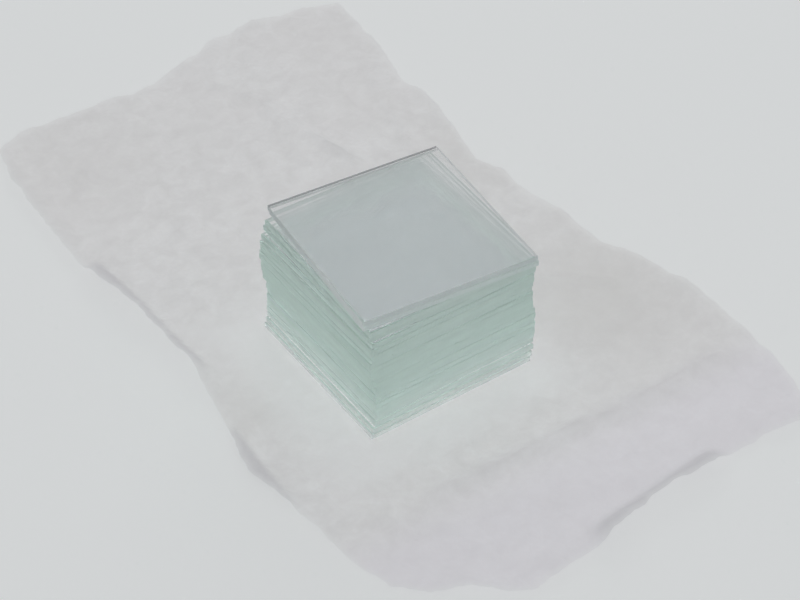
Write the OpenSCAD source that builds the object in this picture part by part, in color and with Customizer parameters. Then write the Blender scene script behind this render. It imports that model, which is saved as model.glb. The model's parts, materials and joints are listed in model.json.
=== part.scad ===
// A stack of loose hemocytometer cover glasses standing on a torn sheet of wrapping tissue.
// Every glass is a solid of its own and lies on the one below with a thin film of air between.
// The origin is under the middle of the stack, on the surface that the tissue lies on, +Z is up,
// and X and Y follow the sides of the stack and of the tissue.

/* [Cover glass] */
// Side of one square cover glass
glass_side = 22; // [18:0.5:24]
// Thickness of one cover glass
glass_thick = 0.64; // [0.4:0.01:0.7]
// Width of the cut that takes the point off each corner
corner_cut = 0.05; // [0.05:0.05:0.5]
// Film of air under each cover glass
air_film = 0.01; // [0.01:0.01:0.1]

/* [Stack] */
// Number of cover glasses in the stack
glass_count = 25; // [16:1:40]
// Number of cover glasses in the lower block, the foot included
lower_count = 10; // [5:1:12]
// Number of cover glasses at the foot that step outwards
foot_count = 3; // [0:1:4]
// Outward step of each foot glass along X
foot_step_x = -0.28; // [-0.6:0.02:0.6]
// Outward step of each foot glass along Y
foot_step_y = -0.22; // [-0.6:0.02:0.6]
// Sideways shift of the upper block along X
upper_shift_x = 0; // [-0.6:0.02:0.6]
// Sideways shift of the upper block along Y
upper_shift_y = 0.16; // [-0.6:0.02:0.6]
// How far the middle of the upper block bulges along X
upper_bulge_x = -0.85; // [-1.2:0.05:1.2]
// How far the middle of the upper block bulges along Y
upper_bulge_y = -0.36; // [-1.2:0.02:1.2]
// Number of cover glasses in the turned group at the top
top_count = 2; // [1:1:4]
// Turn of the top group against the rest, in degrees
top_turn = -6; // [-12:0.5:12]
// Sideways shift of the top group along X
top_shift_x = 0.14; // [-0.6:0.02:0.6]
// Sideways shift of the top group along Y
top_shift_y = 0.06; // [-0.6:0.02:0.6]
// Number of cover glasses just below the top group that are turned a little
next_count = 2; // [0:1:4]
// Turn of those glasses against the rest, in degrees
next_turn = -2; // [-6:0.5:6]
// Sideways shift of those glasses along X
next_shift_x = 0.1; // [-0.4:0.02:0.4]
// Largest chance shift of any one cover glass, along X or along Y
scatter_shift = 0.07; // [0:0.01:0.15]
// Largest chance turn of any one cover glass, in degrees
scatter_turn = 0.4; // [0:0.1:1]

/* [Wrapping tissue] */
// Height that the slightly crumpled tissue takes up under the stack
tissue_thick = 0.2; // [0.1:0.05:0.5]

/* [Hidden] */
pitch = glass_thick + air_film;
golden_angle = 137.5;
glass_colour = [0.62, 0.80, 0.74, 0.6];
tissue_colour = [0.82, 0.82, 0.83];

// The torn outline of the tissue, anticlockwise from its near left corner
tissue_outline = [
    [-20, -33], [-16, -35], [-13, -38], [-10, -39], [-5, -38.5], [2, -38], [8, -36.5],
    [16, -36.5], [24, -36], [31, -37], [33, -30], [34, -21], [33.5, -13], [32.5, -5],
    [30, 0], [29.5, 7], [28.5, 12], [28.5, 18], [27, 21], [28.5, 28], [29.5, 36],
    [29, 40], [30.5, 48], [31.5, 59], [27, 61], [19, 61.5], [12, 61], [5, 58.5],
    [-2, 57], [-9, 58], [-16, 58.5], [-22, 57], [-23.5, 50], [-24, 41], [-24.5, 33],
    [-23.5, 25], [-22.5, 17], [-22.5, 8], [-24, 1], [-26, -8], [-25, -15], [-24, -24],
    [-22.5, -30]
];

function two_digits(number) = number < 10 ? str("0", number) : str(number);
function glass_name(i) = str("cover_glass_", two_digits(i));

// A chance value from -1 to 1 that is always the same for one glass and one kind of error
function chance(i, kind) = sin(golden_angle * i * kind + 60 * kind);

function in_lower(i) = i <= lower_count;
function in_top(i) = i > glass_count - top_count;
function in_next(i) = !in_top(i) && i > glass_count - top_count - next_count;

// How many steps outwards a glass at the foot stands, 0 above the foot
function foot_steps(i) = max(0, foot_count + 1 - i);

// 0 at both ends of the upper block and 1 at its middle
function block_bow(i) =
    let (along = (i - lower_count - 0.5) / (glass_count - top_count - lower_count))
    4 * along * (1 - along);

function group_x(i) =
    in_lower(i) ? foot_step_x * foot_steps(i)
    : in_top(i) ? top_shift_x
    : upper_shift_x + upper_bulge_x * block_bow(i) + (in_next(i) ? next_shift_x : 0);

function group_y(i) =
    in_lower(i) ? foot_step_y * foot_steps(i)
    : in_top(i) ? top_shift_y
    : upper_shift_y + upper_bulge_y * block_bow(i);

function group_turn(i) = in_top(i) ? top_turn : in_next(i) ? next_turn : 0;

function glass_x(i) = group_x(i) + scatter_shift * chance(i, 1);
function glass_y(i) = group_y(i) + scatter_shift * chance(i, 2);
function glass_turn(i) = group_turn(i) + scatter_turn * chance(i, 3);
function glass_base(i) = tissue_thick + air_film + (i - 1) * pitch;

// A square with its four points cut off
module cut_square(side, cut) {
    edge = side / 2;
    short = edge - cut;
    polygon([
        [-short, -edge], [short, -edge], [edge, -short], [edge, short],
        [short, edge], [-short, edge], [-edge, short], [-edge, -short]
    ]);
}

module cover_glass(i) {
    color(glass_colour)
        translate([glass_x(i), glass_y(i), glass_base(i)])
            rotate([0, 0, glass_turn(i)])
                linear_extrude(glass_thick)
                    cut_square(glass_side, corner_cut);
}

module wrapping_tissue() {
    color(tissue_colour)
        linear_extrude(tissue_thick)
            polygon(tissue_outline);
}

wrapping_tissue();
for (i = [1:glass_count])
    cover_glass(i);
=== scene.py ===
"""Looks, light and camera for a stack of hemocytometer cover glasses on a torn sheet of wrapping tissue."""

import json
import math
import random

import bpy
from mathutils import Matrix, Vector, noise
from mathutils.geometry import delaunay_2d_cdt
from mathutils.kdtree import KDTree


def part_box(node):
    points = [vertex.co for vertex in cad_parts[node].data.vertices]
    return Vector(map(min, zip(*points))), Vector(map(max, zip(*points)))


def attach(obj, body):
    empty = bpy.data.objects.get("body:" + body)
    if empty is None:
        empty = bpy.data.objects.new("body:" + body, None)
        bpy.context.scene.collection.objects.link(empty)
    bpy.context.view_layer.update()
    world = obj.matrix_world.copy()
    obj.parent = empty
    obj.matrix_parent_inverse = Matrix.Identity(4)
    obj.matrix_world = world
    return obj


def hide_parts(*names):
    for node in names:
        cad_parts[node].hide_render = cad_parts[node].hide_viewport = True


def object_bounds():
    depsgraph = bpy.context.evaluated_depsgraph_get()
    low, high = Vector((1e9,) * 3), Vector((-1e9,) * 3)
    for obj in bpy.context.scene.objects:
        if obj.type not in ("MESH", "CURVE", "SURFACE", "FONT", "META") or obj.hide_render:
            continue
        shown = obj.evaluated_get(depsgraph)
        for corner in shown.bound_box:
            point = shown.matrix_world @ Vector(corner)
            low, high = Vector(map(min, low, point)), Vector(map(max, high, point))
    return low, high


MM = 0.001

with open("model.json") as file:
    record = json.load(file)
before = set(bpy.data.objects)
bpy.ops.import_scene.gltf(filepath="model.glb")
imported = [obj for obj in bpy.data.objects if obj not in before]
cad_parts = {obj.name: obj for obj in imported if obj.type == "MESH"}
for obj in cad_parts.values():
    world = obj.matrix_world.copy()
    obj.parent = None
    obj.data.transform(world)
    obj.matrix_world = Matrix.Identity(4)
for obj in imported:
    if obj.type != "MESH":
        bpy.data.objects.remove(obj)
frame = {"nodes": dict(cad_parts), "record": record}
cad_low, cad_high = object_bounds()
bodies = frame["record"]["behaviour"]["bodies"]
GLASS_NODES = sorted(n for n in frame["nodes"] if n.startswith("cover_glass_"))
TISSUE_NODE = "wrapping_tissue"


# ---------------------------------------------------------------- places and areas


def placed(name, data):
    """A new object in the scene."""
    thing = bpy.data.objects.new(name, data)
    bpy.context.scene.collection.objects.link(thing)
    return thing


def bearing(azimuth, elevation):
    """The direction to a place round the object, in degrees: azimuth 0 is -Y, and 90 is +X."""
    azimuth, elevation = math.radians(azimuth), math.radians(elevation)
    flat = math.cos(elevation)
    return Vector((math.sin(azimuth) * flat, -math.cos(azimuth) * flat, math.sin(elevation)))


def flat_area(points):
    """The area inside a closed line of 2-D points."""
    return 0.5 * abs(sum(a.x * b.y - b.x * a.y for a, b in zip(points, points[1:] + points[:1])))


def smooth(value):
    """An even rise from 0 to 1 with soft ends, held at 0 below it and at 1 above it."""
    value = min(1.0, max(0.0, value))
    return value * value * (3.0 - 2.0 * value)


# ---------------------------------------------------------------- camera

CAMERA_AZIMUTH = -36.0  # degrees, as bearing() takes them
CAMERA_ELEVATION = 42.74
CAMERA_ROLL = 0.85  # degrees
CAMERA_DISTANCE = 252.7 * MM
CAMERA_LENS = 100.0  # mm
SENSOR_WIDTH = 36.0  # mm
CLIP_START = 0.01
CLIP_END = 20.0
AIM_HEIGHT = 0.37  # of the stack's height


def make_camera():
    """The camera, aimed at a point on the stack's own axis."""
    data = bpy.data.cameras.new("camera")
    data.lens = CAMERA_LENS
    data.sensor_width = SENSOR_WIDTH
    data.clip_start = CLIP_START
    data.clip_end = CLIP_END
    camera = placed("camera", data)
    back = bearing(CAMERA_AZIMUTH, CAMERA_ELEVATION)
    aim = Vector((0.0, 0.0, AIM_HEIGHT * cad_high.z))
    turn = (-back).to_track_quat("-Z", "Y").to_matrix()
    roll = Matrix.Rotation(math.radians(CAMERA_ROLL), 3, "Z")
    place = Matrix.Translation(aim + back * CAMERA_DISTANCE)
    camera.matrix_world = place @ (turn @ roll).to_4x4()
    bpy.context.scene.camera = camera


# ---------------------------------------------------------------- shader helpers


def new_material(name):
    """A new material with an empty node tree, its nodes and its links."""
    material = bpy.data.materials.new(name)
    material.use_nodes = True
    nodes = material.node_tree.nodes
    nodes.clear()
    return material, nodes, material.node_tree.links


def add(nodes, kind, **values):
    """A new shader node. Each value is one of its settings or, failing that, the input of that name."""
    node = nodes.new(kind)
    for key, value in values.items():
        if hasattr(node, key):
            setattr(node, key, value)
        else:
            node.inputs[key.replace("_", " ")].default_value = value
    return node


def stretched(nodes, links, scale):
    """Object coordinates, multiplied along X, Y and Z."""
    coord = add(nodes, "ShaderNodeTexCoord")
    mapping = add(nodes, "ShaderNodeMapping", Scale=scale)
    links.new(coord.outputs["Object"], mapping.inputs["Vector"])
    return mapping.outputs["Vector"]


def clouds(nodes, links, vector, size, detail=3.0, roughness=0.5, distortion=0.0):
    """Soft noise from 0 to 1, with features of about one size, in metres."""
    texture = add(nodes, "ShaderNodeTexNoise", Scale=1.0 / size, Detail=detail)
    texture.inputs["Roughness"].default_value = roughness
    texture.inputs["Distortion"].default_value = distortion
    links.new(vector, texture.inputs["Vector"])
    return texture.outputs[0]


def spread(nodes, links, value, low, high, to_low=0.0, to_high=1.0):
    """The part of a value between low and high, mapped to another range and clamped there."""
    node = add(nodes, "ShaderNodeMapRange")
    for name, number in zip(("From Min", "From Max", "To Min", "To Max"), (low, high, to_low, to_high)):
        node.inputs[name].default_value = number
    links.new(value, node.inputs["Value"])
    return node.outputs["Result"]


def arithmetic(nodes, links, kind, first, second):
    """A Math node of two inputs, each a socket or a number."""
    node = add(nodes, "ShaderNodeMath", operation=kind)
    for socket, value in zip(node.inputs, (first, second)):
        if isinstance(value, (int, float)):
            socket.default_value = value
        else:
            links.new(value, socket)
    return node.outputs[0]


def blended(nodes, links, factor, first, second):
    """A colour between two, each a socket or an RGB triple."""
    node = add(nodes, "ShaderNodeMix", data_type="RGBA")
    links.new(factor, node.inputs["Factor"])
    for socket, value in zip((node.inputs[6], node.inputs[7]), (first, second)):
        if isinstance(value, tuple):
            socket.default_value = (*value, 1.0)
        else:
            links.new(value, socket)
    return node.outputs[2]


def bumped(nodes, links, height, strength, distance):
    """A normal that follows a height from 0 to 1, which stands for a distance in metres."""
    node = add(nodes, "ShaderNodeBump", Strength=strength, Distance=distance)
    links.new(height, node.inputs["Height"])
    return node.outputs["Normal"]


# ---------------------------------------------------------------- outlines from the CAD meshes

FACES_UP = 0.9  # least Z of the normal of a top face
SAME_HEIGHT = 1e-6
PLACE_DIGITS = 8  # decimals at which two corners are the same place
LAYER_GAP = 7.3  # between the layers of noise that two seeds use


def top_outline(node):
    """The outline of a CAD plate's top face, as 2-D points in order, anticlockwise."""
    mesh = frame["nodes"][node].data
    top = max(v.co.z for v in mesh.vertices)
    sides = set()
    for polygon in mesh.polygons:
        corners = [mesh.vertices[i].co for i in polygon.vertices]
        if polygon.normal.z < FACES_UP or min(c.z for c in corners) < top - SAME_HEIGHT:
            continue
        ring = [(round(c.x, PLACE_DIGITS), round(c.y, PLACE_DIGITS)) for c in corners]
        sides.update(zip(ring, ring[1:] + ring[:1]))
    follow = {a: b for a, b in sides if (b, a) not in sides}
    start = here = min(follow)
    loop = []
    while True:
        loop.append(Vector(here))
        here = follow[here]
        if here == start:
            return loop


def resampled(loop, step):
    """Points about step apart along a closed outline, with every corner kept."""
    points = []
    for a, b in zip(loop, loop[1:] + loop[:1]):
        count = max(1, round((b - a).length / step))
        points += [a.lerp(b, k / count) for k in range(count)]
    return points


def inward_normals(loop):
    """The direction into the shape at each point of an anticlockwise outline."""
    normals = []
    for before, after in zip(loop[-1:] + loop[:-1], loop[1:] + loop[:1]):
        along = after - before
        normals.append(Vector((-along.y, along.x)).normalized())
    return normals


def soft_noise(point, size, layer):
    """Smooth chance values from -1 to 1 over the plane, with features of one size in the point's unit."""
    return noise.noise(Vector((point.x / size, point.y / size, layer)))


def wavering(point, size, seed):
    """The same from a layer of its own for each whole number."""
    return soft_noise(point, size, LAYER_GAP * seed)


# ---------------------------------------------------------------- cover glasses

GLASS_IOR = 1.52
SOFT_RANGE = (0.3, 0.7)  # where most values of the soft noise lie

# The faces
CLEAN_TINT = (0.9924, 0.9946, 0.9949)
DUSTY_TINT = (0.9909, 0.9931, 0.9934)
FACE_ROUGHNESS = (0.14, 0.22)  # where the face is clean and where it is dusty
DUST_SIZE = 1.5 * MM
SMEAR_SIZE = 5.0 * MM
SMEAR_STRETCH = (0.35, 1.0, 1.0)
HAZE_RANGE = (0.35, 0.65)  # where most values of the dust and the smears together lie

# The cut and broken edges
CLEAR_ROUGHNESS = 0.12  # of their clear part
MATT_DUST = 0.15  # share of the frosted part that throws light back
FROST = 0.72  # share of an edge that is frosted
FROST_VARIES = 0.03
FOOT_FROSTS = (0.45, 0.53, 0.64)  # the same on the clearer glasses that step out at the foot
EDGE_BUMP = 0.08  # strength of the striations' relief
FOOT_BUMP = 0.02  # and on the glasses at the foot
STRIATION_SIZE = 0.16 * MM
STRIATION_STRETCH = (1.0, 1.0, 0.25)
STRIATION_DEPTH = 0.01 * MM
STRIATION_PAINTED_SHADE = 0.985  # painted shade: what a striation's low parts do to the tint
STRIATION_PAINTED_LIGHT = 1.01  # painted light: what its high parts do to it
PATCH_SIZE = 1.0 * MM
PATCH_STRETCH = (0.3, 0.3, 1.0)
# The foot glasses' rim band, painted darker than their edges: painted shade against the light that the
# upward-facing band catches
FOOT_RIM_TINT = (0.80, 0.925, 0.875)

# Tints of the edges of the turned glasses at the top, the highest last: the right edges are painted lighter
# as painted light, and the back edges painted darker as painted shade, darkest on the highest glass
TOP_FRONT = (0.865, 0.935, 0.915)
TOP_LEFT = (0.845, 0.885, 0.875)
TOP_EDGES = [
    {"front": TOP_FRONT, "left": TOP_LEFT, "right": (0.96, 0.97, 0.97), "back": (0.80, 0.80, 0.80)},
    {"front": TOP_FRONT, "left": TOP_LEFT, "right": (0.95, 0.94, 0.94), "back": (0.42, 0.42, 0.43)},
]

# Green of a broken edge by height, 0 at the foot and 1 at the top: the green is the glass's own, and it
# pales towards the foot with painted light from the lit table below
EDGE_GREENS_AND_LIGHT = [
    (0.00, (0.965, 1.000, 0.985)),
    (0.05, (0.925, 0.998, 0.965)),
    (0.09, (0.890, 0.988, 0.944)),
    (0.18, (0.861, 0.973, 0.923)),
    (0.50, (0.827, 0.940, 0.888)),
    (1.00, (0.782, 0.880, 0.834)),
]
GREEN_VARIES = 0.012
GREEN_SEED = 7
FAR_PAINTED_LIGHT = (1.14, 1.05, 1.09)  # painted light: the edges towards +X and +Y are painted lighter than the others


def glass_shader(nodes, links):
    """A Principled shader set up as glass, joined to a new output."""
    out = add(nodes, "ShaderNodeOutputMaterial")
    glass = add(nodes, "ShaderNodeBsdfPrincipled", IOR=GLASS_IOR)
    glass.inputs["Transmission Weight"].default_value = 1.0
    links.new(glass.outputs["BSDF"], out.inputs["Surface"])
    return glass


def face_glass():
    """Polished glass with a breath of dust and long faint smears, which soften what lies below."""
    material, nodes, links = new_material("glass_face")
    glass = glass_shader(nodes, links)
    even = stretched(nodes, links, (1.0, 1.0, 1.0))
    long = stretched(nodes, links, SMEAR_STRETCH)
    dust = clouds(nodes, links, even, DUST_SIZE, detail=4.0, roughness=0.7)
    smears = clouds(nodes, links, long, SMEAR_SIZE, distortion=0.6)
    haze = arithmetic(nodes, links, "MULTIPLY", arithmetic(nodes, links, "ADD", dust, smears), 0.5)
    rough = spread(nodes, links, haze, *HAZE_RANGE, *FACE_ROUGHNESS)
    links.new(rough, glass.inputs["Roughness"])
    tint = blended(nodes, links, spread(nodes, links, haze, *HAZE_RANGE), CLEAN_TINT, DUSTY_TINT)
    links.new(tint, glass.inputs["Base Color"])
    return material


def frosted_edge(name, tint, frost_share, relief):
    """The cut and broken edge of a glass: part clear, part frosted, green and finely striated."""
    material, nodes, links = new_material(name)
    out = add(nodes, "ShaderNodeOutputMaterial")
    clear = add(nodes, "ShaderNodeBsdfPrincipled", IOR=GLASS_IOR, Roughness=CLEAR_ROUGHNESS)
    clear.inputs["Transmission Weight"].default_value = 1.0
    frost = add(nodes, "ShaderNodeBsdfTranslucent")
    dust = add(nodes, "ShaderNodeBsdfDiffuse")

    upright = stretched(nodes, links, STRIATION_STRETCH)
    striation = clouds(nodes, links, upright, STRIATION_SIZE, detail=4.0)
    patches = clouds(nodes, links, stretched(nodes, links, PATCH_STRETCH), PATCH_SIZE)
    # painted light on the striations' high parts and painted shade in their low parts
    lit = tuple(min(1.0, c * STRIATION_PAINTED_LIGHT) for c in tint)
    dim = tuple(c * STRIATION_PAINTED_SHADE for c in tint)
    colour = blended(nodes, links, spread(nodes, links, striation, *SOFT_RANGE), dim, lit)
    normal = bumped(nodes, links, striation, relief, STRIATION_DEPTH)
    for shader, socket in ((clear, "Base Color"), (frost, "Color"), (dust, "Color")):
        links.new(colour, shader.inputs[socket])
        links.new(normal, shader.inputs["Normal"])

    matt = add(nodes, "ShaderNodeMixShader", Fac=MATT_DUST)
    links.new(frost.outputs[0], matt.inputs[1])
    links.new(dust.outputs[0], matt.inputs[2])
    whole = add(nodes, "ShaderNodeMixShader")
    least, most = frost_share - FROST_VARIES, frost_share + FROST_VARIES
    share = spread(nodes, links, patches, *SOFT_RANGE, least, most)
    links.new(share, whole.inputs["Fac"])
    links.new(clear.outputs[0], whole.inputs[1])
    links.new(matt.outputs[0], whole.inputs[2])
    links.new(whole.outputs[0], out.inputs["Surface"])
    return material


def edge_green_and_light(height, chance):
    """The glass's green of an edge at a height from 0 to 1, paled towards the foot by painted light from
    the table below, a little lighter or darker by chance.
    """
    for (low, below), (high, above) in zip(EDGE_GREENS_AND_LIGHT, EDGE_GREENS_AND_LIGHT[1:]):
        if height <= high:
            share = (height - low) / (high - low)
            light = 1.0 + GREEN_VARIES * chance.uniform(-1.0, 1.0)
            return tuple(min(1.0, (b + (a - b) * share) * light) for a, b in zip(above, below))


def edge_materials(face):
    """For each glass, from the foot up: the materials of its four edges and then of its rim at each."""
    chance = random.Random(GREEN_SEED)
    count = len(GLASS_NODES)
    # painted shade: the foot glasses' rim band is darker than their edges
    foot_rim = frosted_edge("glass_foot_rim", FOOT_RIM_TINT, FROST, EDGE_BUMP)
    chosen = []
    for k in range(count - len(TOP_EDGES)):
        at_foot = k < len(FOOT_FROSTS)
        finish = (FOOT_FROSTS[k], FOOT_BUMP) if at_foot else (FROST, EDGE_BUMP)
        # the glass's own green, with painted light from the table below that makes it paler towards the
        # foot
        green_and_light = edge_green_and_light(k / (count - 1), chance)
        near = frosted_edge(f"glass_edge_{k + 1:02d}", green_and_light, *finish)
        # painted light: the far edges' tint is made lighter than the near edges'
        painted_lighter = tuple(min(1.0, c * more) for c, more in zip(green_and_light, FAR_PAINTED_LIGHT))
        far = frosted_edge(f"glass_far_painted_light_edge_{k + 1:02d}", painted_lighter, *finish)
        rim = foot_rim if at_foot else near
        chosen.append([near, near, far, far, rim, rim, far, far])
    for k, tints in enumerate(TOP_EDGES):
        edges = []
        for side, tint in tints.items():
            edges.append(frosted_edge(f"glass_{side}_{k + 1}", tint, FROST, EDGE_BUMP))
        covered = k < len(TOP_EDGES) - 1
        chosen.append(edges + [edges[0] if covered else face, face, face, face])
    return chosen


# ---------------------------------------------------------------- glass shapes

OUTLINE_STEP = 0.25 * MM
RIM_WIDTH = 0.27 * MM  # of the hazy band round the upper face, as wide as most of the steps in the stack
ARRIS = 0.010 * MM
ARRIS_WAVER = 0.005 * MM
ARRIS_WAVER_SIZE = 0.7 * MM
ARRIS_SEED = 50  # added to the glass's number
EDGE_WAVER = 0.02 * MM
EDGE_WAVER_SIZE = 1.2 * MM
EDGE_SLANT = 0.015 * MM
CHIP_COUNTS = (2, 5)  # fewest and most on one glass
CHIP_HALF_WIDTHS = (0.15 * MM, 0.4 * MM)
CHIP_DEPTHS = (0.05 * MM, 0.12 * MM)
SIDES = ((0, -1), (-1, 0), (1, 0), (0, 1))  # front, left, right and back
UPRIGHT = 2  # the ring of a glass from which its edge goes straight down


def chip_depths(outline, chance):
    """How deep chance chips bite into an edge at each point of the outline."""
    depths = [0.0] * len(outline)
    for _ in range(chance.randint(*CHIP_COUNTS)):
        middle = chance.choice(outline)
        half_width = chance.uniform(*CHIP_HALF_WIDTHS)
        depth = chance.uniform(*CHIP_DEPTHS)
        for k, point in enumerate(outline):
            away = (point - middle).length / half_width
            if away < 1.0:
                depths[k] = max(depths[k], depth * math.sqrt(1.0 - away * away))
    return depths


def glass_rings(node, number):
    """Rings of points round a glass, downwards: the rim's inner side, then each end of both arrises."""
    chance = random.Random(number)
    low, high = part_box(node)
    outline = resampled(top_outline(node), OUTLINE_STEP)
    middle = Vector(((low.x + high.x) / 2, (low.y + high.y) / 2))
    half_side = math.sqrt(flat_area(outline)) / 2
    upper_chips = chip_depths(outline, chance)
    lower_chips = chip_depths(outline, chance)
    upper_slant = chance.uniform(0.0, EDGE_SLANT)
    lower_slant = chance.uniform(0.0, EDGE_SLANT)

    rings = [[], [], [], [], []]
    for point, upper_chip, lower_chip in zip(outline, upper_chips, lower_chips):
        into = (middle - point) / half_side
        side = EDGE_WAVER * (0.5 + 0.5 * wavering(point, EDGE_WAVER_SIZE, number))
        arris = ARRIS + ARRIS_WAVER * wavering(point, ARRIS_WAVER_SIZE, number + ARRIS_SEED)
        upper = side + upper_slant
        lower = side + lower_slant
        upper_bite = arris + upper_chip
        lower_bite = arris + lower_chip
        insets = (RIM_WIDTH, upper + upper_bite, upper, lower, lower + lower_bite)
        heights = (high.z, high.z, high.z - upper_bite, low.z + lower_bite, low.z)
        for ring, inset, height in zip(rings, insets, heights):
            place = point + into * inset
            ring.append((place.x, place.y, height))
    return rings


def lofted(name, rings):
    """A closed mesh of rings: its top, then the quads between one ring and the next, then its bottom."""
    count = len(rings[0])
    faces = [list(range(count))]
    for r in range(len(rings) - 1):
        for k in range(count):
            a, b = r * count + k, r * count + (k + 1) % count
            faces.append([a, a + count, b + count, b])
    last = (len(rings) - 1) * count
    faces.append([last + k for k in reversed(range(count))])
    mesh = bpy.data.meshes.new(name)
    mesh.from_pydata([point for ring in rings for point in ring], [], faces)
    return mesh


def edge_slot(quad, normals):
    """The material slot of a quad, numbered from the rim down, from the way the edge faces there."""
    ring, column = divmod(quad, len(normals))
    facing = [normals[column].x * x + normals[column].y * y for x, y in SIDES]
    side = facing.index(max(facing))
    return 1 + side + (len(SIDES) if ring == 0 else 0)


def make_glass(node, face, edges):
    """One cover glass: its CAD outline with fine arrises, a slightly uneven broken edge and small chips."""
    number = int(node[-2:])
    rings = glass_rings(node, number)
    count = len(rings[0])
    mesh = lofted(node + "_glass", rings)
    for material in (face, *edges):
        mesh.materials.append(material)
    normals = [mesh.polygons[1 + UPRIGHT * count + k].normal for k in range(count)]
    for k in range((len(rings) - 1) * count):
        mesh.polygons[1 + k].material_index = edge_slot(k, normals)
    mesh.update()

    piece = placed(f"glass_{number:02d}", mesh)
    body = next(b for b, members in bodies.items() if node in members)
    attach(piece, body)
    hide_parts(node)


# ---------------------------------------------------------------- tissue: shape

TISSUE_UNDER = 0.10 * MM  # height of the sheet under the stack
TISSUE_LOOSE = 0.35 * MM  # mean height elsewhere
TISSUE_LOWEST = 0.03 * MM
FLAT_HALF = 12.6 * MM  # half the side of the square that the stack presses flat
LIFT_OFF = 6.0 * MM  # distance over which the sheet comes free of the stack

CREASE_BEND = 0.8  # mm, how far a crease strays from straight
CREASE_BEND_SIZE = 7.0  # mm
CREASE_REACH = 3.0  # half widths, past which a crease adds nothing
CREASE_FADE = 4.0  # mm, over which it dies out inwards from each end
CREASE_END = 0.1  # how far along that fade its very end is

# Each crease: its two ends, half its width and its height, in mm
CREASES = [
    ((-14, -22.5), (30, -24), 0.9, 0.75),
    ((-14, -25.5), (30, -27), 2.2, -0.30),
    ((-20, -5), (-12, -16), 1.6, -0.28),
    ((-12, -16), (0, -17), 1.8, -0.28),
    ((7.5, 55), (14.5, 27), 0.7, 0.45),
    ((11.5, 49), (13.5, 29), 0.6, 0.40),
    ((-15, 32), (-8, 29), 0.6, 0.35),
    ((-20, 45), (-3, 52), 0.9, 0.35),
    ((-19, 20), (-13.5, 24), 0.6, 0.30),
    ((16, 2), (28, -8), 1.0, 0.40),
    ((18, -14), (31, -9), 0.8, 0.30),
    ((-4, -30), (12, -33), 0.8, 0.30),
    ((-20, -20), (-10, -31), 1.0, 0.35),
    ((20, 22), (26, 45), 0.8, 0.35),
]

TURN_SOLID = 1.8  # a turned rim is whole up to (TURN_SOLID - 1) / TURN_FALL of its width
TURN_FALL = 1.4
TURN_FADE = 3.0  # mm, over which it dies out inwards from each end
TURN_END = 0.3  # how far along that fade its very end is

# Each place where the torn rim is turned over and lies double: its ends, its width and its lift, in mm
TURNED_RIMS = [
    ((-23.5, 31), (-22.3, 8), 1.3, 0.7),
    ((-25.0, -1), (-25.9, -16), 1.5, 0.6),
    ((-1, -38.3), (18, -36.3), 2.2, 1.1),
]

# Fine irregular crumpling, in mm: broad soft waves, then finer ones with sharp ridges
BROAD_WAVES = (13.0, 0.26)  # their size and their height
MIDDLE_RIDGES = (5.2, 0.16)
FINE_RIDGES = (2.3, 0.07)
RIDGE_TOP = 0.4  # where a ridge peaks, in parts of its height

# Here and there the torn rim curls up
CURL_HEIGHT = 0.9  # mm
CURL_SIZE = 6.0  # mm, along the rim
CURL_SHARE = 0.15  # the larger, the more of the rim curls
CURL_REACH = 1.8 * MM  # inwards from the rim

# Layers of noise that no two of these shapes share
BROAD_LAYER, CURL_LAYER, MIDDLE_LAYER, FINE_LAYER = 1.7, 3.3, 5.1, 9.4


def along_segment(point, start, end):
    """Distance from a segment, and how far inside its ends the nearest point is, both in mm."""
    start, end = Vector(start), Vector(end)
    way = end - start
    share = (point - start).dot(way) / way.length_squared
    near = start + way * min(1.0, max(0.0, share))
    return (point - near).length, min(share, 1.0 - share) * way.length


def crease_height(point):
    """Sum of the creases at a point, in mm."""
    total = 0.0
    for start, end, half_width, height in CREASES:
        bend = CREASE_BEND * soft_noise(point, CREASE_BEND_SIZE, height)
        away, inside = along_segment(point + Vector((bend, bend)), start, end)
        if away < CREASE_REACH * half_width:
            along = smooth(inside / CREASE_FADE + CREASE_END)
            total += height * math.exp(-((away / half_width) ** 2)) * along
    return total


def turned(point):
    """How much of a turned rim covers a point, from 0 to 1, and its lift in mm."""
    cover, lift = 0.0, 0.0
    for start, end, width, height in TURNED_RIMS:
        away, inside = along_segment(point, start, end)
        across = smooth(TURN_SOLID - away / width * TURN_FALL)
        here = across * smooth(inside / TURN_FADE + TURN_END)
        cover = max(cover, here)
        lift = max(lift, height * here)
    return cover, lift


def ridges(point, size, height, layer):
    """Sharp ridges between smooth hollows, in mm."""
    return height * (RIDGE_TOP - abs(soft_noise(point, size, layer)))


def crumple(point):
    """Height of the crumpling at a point, in mm."""
    size, height = BROAD_WAVES
    broad = height * soft_noise(point, size, BROAD_LAYER)
    return broad + ridges(point, *MIDDLE_RIDGES, MIDDLE_LAYER) + ridges(point, *FINE_RIDGES, FINE_LAYER)


def tissue_height(place, rim_distance):
    """Height of the sheet and how double it lies at a place, in metres; where it lies double, the paper is
    painted darker as painted shade.
    """
    point = place / MM
    beyond = max(abs(place.x), abs(place.y)) - FLAT_HALF
    free = smooth(beyond / LIFT_OFF)
    flutter = max(0.0, soft_noise(point, CURL_SIZE, CURL_LAYER) + CURL_SHARE)
    curl = CURL_HEIGHT * flutter * math.exp(-((rim_distance / CURL_REACH) ** 2))
    cover, lift = turned(point)
    loose = crease_height(point) + crumple(point) + curl + lift
    height = TISSUE_UNDER + free * (TISSUE_LOOSE - TISSUE_UNDER + loose * MM)
    return max(TISSUE_LOWEST, height), cover


# ---------------------------------------------------------------- tissue: torn outline and looks by place

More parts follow.
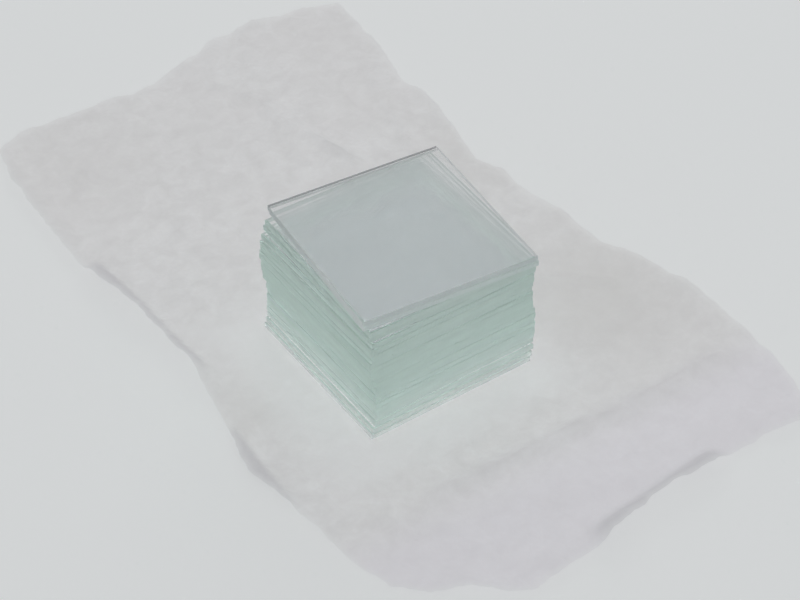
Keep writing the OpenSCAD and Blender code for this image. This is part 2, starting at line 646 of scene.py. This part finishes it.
TORN_STEP = 0.35 * MM
BROAD_TEAR = (2.6 * MM, 0.30)  # the size of its waves, and their height in mm
FINE_TEAR = (0.8 * MM, 0.16)
BROAD_TEAR_SEED = 11
FINE_TEAR_SEED = 12
TEAR_INSET = 0.15  # mm, the mean distance of the tear inside the CAD outline

# Each duller area of the tissue: its middle and its radius in mm, and its strength
DULL_AREAS = [((24, -8), 11, 1.0), ((27, 22), 8, 0.7), ((-22, -1), 4, 0.6), ((-14, 50), 12, 0.4)]
VIOLET_BELOW = -23.0  # mm along Y, beyond the long fold
VIOLET_OVER = 8.0  # mm, over which the violet comes in
VIOLET_START = 0.3  # how far it has come in at VIOLET_BELOW
GLOW_MIDDLE = (-3.0 * MM, -1.5 * MM)  # middle of the square round the foot where painted light makes the tissue look brightest
GLOW_HALF = 12.5 * MM  # half its side
GLOW_OVER = 6.0 * MM  # distance over which that fades
THIN_RIM = 0.9 * MM  # width of the torn rim, where the fibres thin out


def torn(loop):
    """The outline with the fine irregular line of a tear."""
    points = resampled(loop, TORN_STEP)
    ragged = []
    for point, into in zip(points, inward_normals(points)):
        broad = BROAD_TEAR[1] * wavering(point, BROAD_TEAR[0], BROAD_TEAR_SEED)
        fine = FINE_TEAR[1] * wavering(point, FINE_TEAR[0], FINE_TEAR_SEED)
        ragged.append(point + into * (broad + fine + TEAR_INSET) * MM)
    return ragged


def dullness(point):
    """How dull the tissue is at a point, from 0 to 1."""
    total = 0.0
    for middle, radius, strength in DULL_AREAS:
        away = (point - Vector(middle)).length / radius
        total += strength * math.exp(-away * away)
    return min(1.0, total)


def violet(point):
    """How violet the tissue is at a point, from 0 to 1."""
    return smooth((VIOLET_BELOW - point.y) / VIOLET_OVER + VIOLET_START)


def painted_glow_amount(place):
    """How much painted light lies on the tissue round the stack's foot, where it also lies smooth, from 0
    to 1.
    """
    beyond = max(abs(place.x - GLOW_MIDDLE[0]), abs(place.y - GLOW_MIDDLE[1])) - GLOW_HALF
    return smooth(1.0 - beyond / GLOW_OVER)


# ---------------------------------------------------------------- tissue: mesh

TISSUE_STEP = 0.7 * MM
TISSUE_SEED = 3
GRID_CHANCE = 0.15  # of a step, how far a point strays
RIM_CLEAR = 0.5 * TISSUE_STEP  # least distance of an inner point from the rim
SAME_POINT = 1e-7


def inside_loop(point, loop):
    """True if a point lies inside a closed outline."""
    inside = False
    for a, b in zip(loop, loop[1:] + loop[:1]):
        if (a.y > point.y) != (b.y > point.y):
            if point.x < a.x + (b.x - a.x) * (point.y - a.y) / (b.y - a.y):
                inside = not inside
    return inside


def tree_of(points):
    """A search tree that finds the nearest of some 2-D points."""
    tree = KDTree(len(points))
    for k, point in enumerate(points):
        tree.insert(point.to_3d(), k)
    tree.balance()
    return tree


def inner_places(outline, rim):
    """A slightly irregular grid of triangles' corners inside the outline, clear of the rim."""
    chance = random.Random(TISSUE_SEED)
    low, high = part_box(TISSUE_NODE)
    places = []
    for column in range(math.ceil((high.x - low.x) / TISSUE_STEP)):
        for row in range(math.ceil((high.y - low.y) / TISSUE_STEP)):
            shift = 0.5 * (row % 2) + chance.uniform(-GRID_CHANCE, GRID_CHANCE)
            x = low.x + (column + shift) * TISSUE_STEP
            y = low.y + (row + chance.uniform(-GRID_CHANCE, GRID_CHANCE)) * TISSUE_STEP
            place = Vector((x, y))
            if rim.find(place.to_3d())[2] > RIM_CLEAR and inside_loop(place, outline):
                places.append(place)
    return places


def tissue_mesh():
    """The sheet as triangles, with an attribute for each way that its looks change by place."""
    outline = top_outline(TISSUE_NODE)
    loop = torn(outline)
    rim = tree_of(loop)
    places = loop + inner_places(outline, rim)
    sides = [(k, (k + 1) % len(loop)) for k in range(len(loop))]
    flat, _, triangles, *_ = delaunay_2d_cdt(places, sides, [list(range(len(loop)))], 1, SAME_POINT)

    points = []
    looks = {"thin": [], "double_shade": [], "dull": [], "violet": [], "painted_glow": []}
    for place in flat:
        distance = rim.find(place.to_3d())[2]
        height, cover = tissue_height(place, distance)
        points.append((place.x, place.y, height))
        looks["thin"].append(1.0 - smooth(distance / THIN_RIM))
        looks["double_shade"].append(cover)
        looks["dull"].append(dullness(place / MM))
        looks["violet"].append(violet(place / MM))
        looks["painted_glow"].append(painted_glow_amount(place))
    mesh = bpy.data.meshes.new("tissue_sheet")
    mesh.from_pydata(points, [], triangles)
    for name, values in looks.items():
        mesh.attributes.new(name, "FLOAT", "POINT").data.foreach_set("value", values)
    for polygon in mesh.polygons:
        polygon.use_smooth = True
    mesh.update()
    return mesh


# ---------------------------------------------------------------- tissue: paper

FLECK_SIZE = 0.55 * MM
MOTTLE_SIZE = 2.4 * MM
AREA_SIZE = 17.0 * MM
FIBRE_SIZE = 0.22 * MM
FIBRE_STRETCH = (0.3, 1.0, 1.0)
MOTTLE_DARK = (0.905, 0.89, 0.892)

# Each soft noise that colours the paper, in order: which one, the part of its values that counts, the most
# of its colour that it mixes in, and that colour
TISSUE_CLOUDS = [
    ("mottle", (0.3, 0.7), 1.0, (1.0, 0.99, 0.993)),
    ("flecks", (0.35, 0.75), 0.5, (0.90, 0.885, 0.887)),
    ("fibres", (0.55, 0.75), 0.4, (1.0, 1.0, 0.99)),
    ("areas", (0.4, 0.65), 0.3, (0.93, 0.91, 0.91)),
]

# Then what each attribute of the mesh mixes in: the most of its colour, and that colour
TISSUE_SHADES = [
    ("dull", 0.6, (0.87, 0.855, 0.845)),
    ("violet", 0.5, (0.95, 0.92, 0.965)),
    # painted shade: the turned rim really lies double and lifts, and the paper is painted darker there
    ("double_shade", 0.75, (0.78, 0.76, 0.78)),
    ("thin", 0.5, (1.0, 1.0, 1.0)),
    # painted light: the tissue round the stack's foot is painted paler
    ("painted_glow", 0.48, (1.0, 0.995, 1.0)),
]
FLECK_RELIEF = 0.4  # against the mottle's
PAPER_BUMP = 0.5
PAPER_RELIEF = 0.15 * MM
SEE_THROUGH = 0.90  # share of the light that the tissue lets through


def tissue_clouds(nodes, links):
    """The soft noises of the paper by name."""
    even = stretched(nodes, links, (1.0, 1.0, 1.0))
    long = stretched(nodes, links, FIBRE_STRETCH)
    return {
        "flecks": clouds(nodes, links, even, FLECK_SIZE, detail=3.0, roughness=0.6),
        "mottle": clouds(nodes, links, even, MOTTLE_SIZE, detail=4.0, roughness=0.6, distortion=0.6),
        "areas": clouds(nodes, links, even, AREA_SIZE, detail=1.0),
        "fibres": clouds(nodes, links, long, FIBRE_SIZE, detail=2.0, distortion=2.0),
    }


def tissue_paper():
    """Thin crumpled tissue that lets most of the light from below through."""
    material, nodes, links = new_material("tissue_paper")
    out = add(nodes, "ShaderNodeOutputMaterial")
    textures = tissue_clouds(nodes, links)
    shade = MOTTLE_DARK
    for name, counts, most, colour in TISSUE_CLOUDS:
        amount = spread(nodes, links, textures[name], *counts, 0.0, most)
        shade = blended(nodes, links, amount, shade, colour)
    for name, most, colour in TISSUE_SHADES:
        amount = add(nodes, "ShaderNodeAttribute", attribute_name=name).outputs["Fac"]
        amount = arithmetic(nodes, links, "MULTIPLY", amount, most)
        shade = blended(nodes, links, amount, shade, colour)

    flecked = arithmetic(nodes, links, "MULTIPLY", textures["flecks"], FLECK_RELIEF)
    relief = arithmetic(nodes, links, "ADD", textures["mottle"], flecked)
    normal = bumped(nodes, links, relief, PAPER_BUMP, PAPER_RELIEF)
    front = add(nodes, "ShaderNodeBsdfDiffuse")
    through = add(nodes, "ShaderNodeBsdfTranslucent")
    for shader in (front, through):
        links.new(shade, shader.inputs["Color"])
        links.new(normal, shader.inputs["Normal"])
    sheet = add(nodes, "ShaderNodeMixShader", Fac=SEE_THROUGH)
    links.new(front.outputs[0], sheet.inputs[1])
    links.new(through.outputs[0], sheet.inputs[2])
    links.new(sheet.outputs[0], out.inputs["Surface"])
    return material


def cut_area(mesh):
    """The area of a sheet as seen from above."""
    shapes = ([mesh.vertices[i].co.to_2d() for i in polygon.vertices] for polygon in mesh.polygons)
    return sum(flat_area(shape) for shape in shapes)


def make_tissue():
    """The tissue under the stack, as one thin sheet."""
    mesh = tissue_mesh()
    mesh.materials.append(tissue_paper())
    piece = placed("tissue_sheet", mesh)
    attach(piece, "tissue")
    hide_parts(TISSUE_NODE)
    cut_area(mesh)


# ---------------------------------------------------------------- floor and light

FLOOR_HALF = 3.0
FLOOR_DROP = 0.02 * MM
FLOOR_COLOUR = (0.78, 0.785, 0.775)
FLOOR_ROUGHNESS = 0.8
FLOOR_SPECULAR = 0.2
FLOOR_GLOW = 0.305  # the table is lit from below, as a light table is


def make_floor():
    """The table, as one plain square that glows a little."""
    mesh = bpy.data.meshes.new("floor")
    r = FLOOR_HALF
    mesh.from_pydata([(-r, -r, 0), (r, -r, 0), (r, r, 0), (-r, r, 0)], [], [(0, 1, 2, 3)])
    floor = placed("floor", mesh)
    floor.location.z = -FLOOR_DROP
    material, nodes, links = new_material("floor")
    out = add(nodes, "ShaderNodeOutputMaterial")
    matt = add(nodes, "ShaderNodeBsdfPrincipled", Roughness=FLOOR_ROUGHNESS)
    matt.inputs["Specular IOR Level"].default_value = FLOOR_SPECULAR
    matt.inputs["Base Color"].default_value = (*FLOOR_COLOUR, 1.0)
    matt.inputs["Emission Color"].default_value = (1.0, 1.0, 1.0, 1.0)
    matt.inputs["Emission Strength"].default_value = FLOOR_GLOW
    links.new(matt.outputs["BSDF"], out.inputs["Surface"])
    mesh.materials.append(material)


# The light of the room by height: 0 at the horizon and 1 overhead
SKY = [
    (0.00, (0.32, 0.34, 0.35)),
    (0.35, (0.36, 0.38, 0.39)),
    (0.60, (0.40, 0.42, 0.435)),
    (0.76, (0.40, 0.42, 0.435)),
    (1.00, (0.46, 0.47, 0.48)),
]


def make_world():
    """The soft even light of the room."""
    world = bpy.data.worlds.new("soft_room")
    bpy.context.scene.world = world
    world.use_nodes = True
    nodes, links = world.node_tree.nodes, world.node_tree.links
    nodes.clear()
    out = add(nodes, "ShaderNodeOutputWorld")
    back = add(nodes, "ShaderNodeBackground")
    coord = add(nodes, "ShaderNodeTexCoord")
    split = add(nodes, "ShaderNodeSeparateXYZ")
    ramp = add(nodes, "ShaderNodeValToRGB")
    links.new(coord.outputs["Generated"], split.inputs[0])
    links.new(split.outputs["Z"], ramp.inputs[0])
    stops = ramp.color_ramp.elements
    stops[0].position, stops[1].position = SKY[0][0], SKY[-1][0]
    stops[0].color, stops[1].color = (*SKY[0][1], 1.0), (*SKY[-1][1], 1.0)
    for position, colour in SKY[1:-1]:
        stops.new(position).color = (*colour, 1.0)
    links.new(ramp.outputs[0], back.inputs["Color"])
    links.new(back.outputs[0], out.inputs["Surface"])


WINDOW_AZIMUTH = 135.0  # degrees, as bearing() takes them
WINDOW_ELEVATION = 20.0
WINDOW_DISTANCE = 0.9
WINDOW_SIZE = (0.7, 0.3)
WINDOW_POWER = 0.7


def make_window():
    """A broad soft light behind the stack, like a window low in the room."""
    data = bpy.data.lights.new("window", "AREA")
    data.shape = "RECTANGLE"
    data.size, data.size_y = WINDOW_SIZE
    data.energy = WINDOW_POWER
    window = placed("window", data)
    way = bearing(WINDOW_AZIMUTH, WINDOW_ELEVATION)
    window.location = way * WINDOW_DISTANCE
    window.rotation_euler = way.to_track_quat("Z", "Y").to_euler()


MOST_BOUNCES = 256  # light crosses the stack many times before it comes out


def set_render():
    """The view's colours, and enough bounces for the glass."""
    scene = bpy.context.scene
    scene.view_settings.view_transform = "Standard"
    scene.cycles.max_bounces = MOST_BOUNCES
    scene.cycles.diffuse_bounces = MOST_BOUNCES
    scene.cycles.transmission_bounces = MOST_BOUNCES
    scene.cycles.glossy_bounces = MOST_BOUNCES
    scene.cycles.blur_glossy = 0.0


make_camera()
glass_face = face_glass()
for glass_node, glass_edges in zip(GLASS_NODES, edge_materials(glass_face)):
    make_glass(glass_node, glass_face, glass_edges)
make_tissue()
make_floor()
make_world()
make_window()
set_render()
